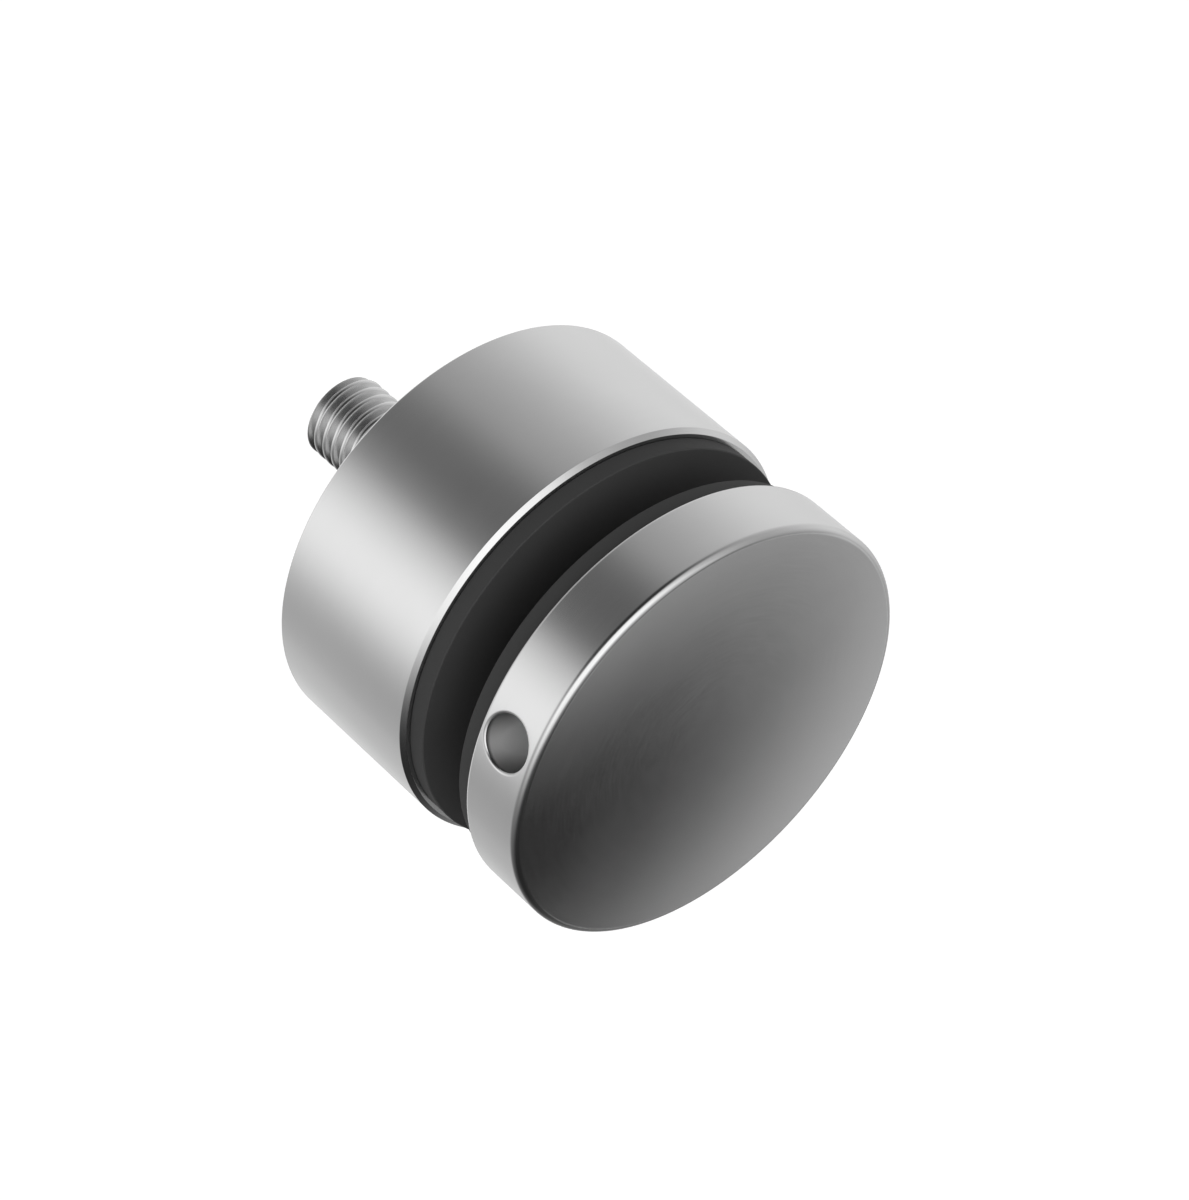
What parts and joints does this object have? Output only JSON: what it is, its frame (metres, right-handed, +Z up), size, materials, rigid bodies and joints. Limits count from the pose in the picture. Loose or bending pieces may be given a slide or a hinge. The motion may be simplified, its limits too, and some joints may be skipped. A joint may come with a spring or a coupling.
{
  "type": "glass point fixing",
  "caption": "Round stand-off that clamps a drilled glass panel between two gaskets, with a screw-in cap and a threaded wall stud.",
  "frame": {"origin": "middle of the base's back face, on the wall plane, where the wall stud leaves it", "axes": "+Y into the wall along the wall stud, so the cap faces -Y; +Z up"},
  "size_m": [0.05, 0.0617, 0.05],
  "materials": {
    "turned_steel": "fine satin, turned",
    "thread_steel": "machined",
    "gasket_rubber": "matt",
    "sleeve_plastic": "matt"
  },
  "bodies": {
    "wall_side": {"base": "turned_steel", "wall_stud": "thread_steel", "base_gasket": "gasket_rubber"},
    "glass_seal": {"cap_gasket": "gasket_rubber", "glass_sleeve": "sleeve_plastic"},
    "cap_side": {"cap": "turned_steel", "cap_stud": "thread_steel"}
  },
  "joints": [
    {"name": "cap_travel", "type": "slide", "parent": "wall_side", "child": "glass_seal", "axis": [0, -1, 0], "range_m": [-0.0005, 0.006]},
    {"name": "cap_turn", "type": "hinge", "parent": "glass_seal", "child": "cap_side", "pos_m": [0, -0.0351, 0], "axis": [0, -1, 0], "range_deg": [-120, 1440]}
  ],
  "couplings": [
    {"joint": "cap_travel", "follows": "cap_turn", "m_per_rad": 0.00023873}
  ]
}
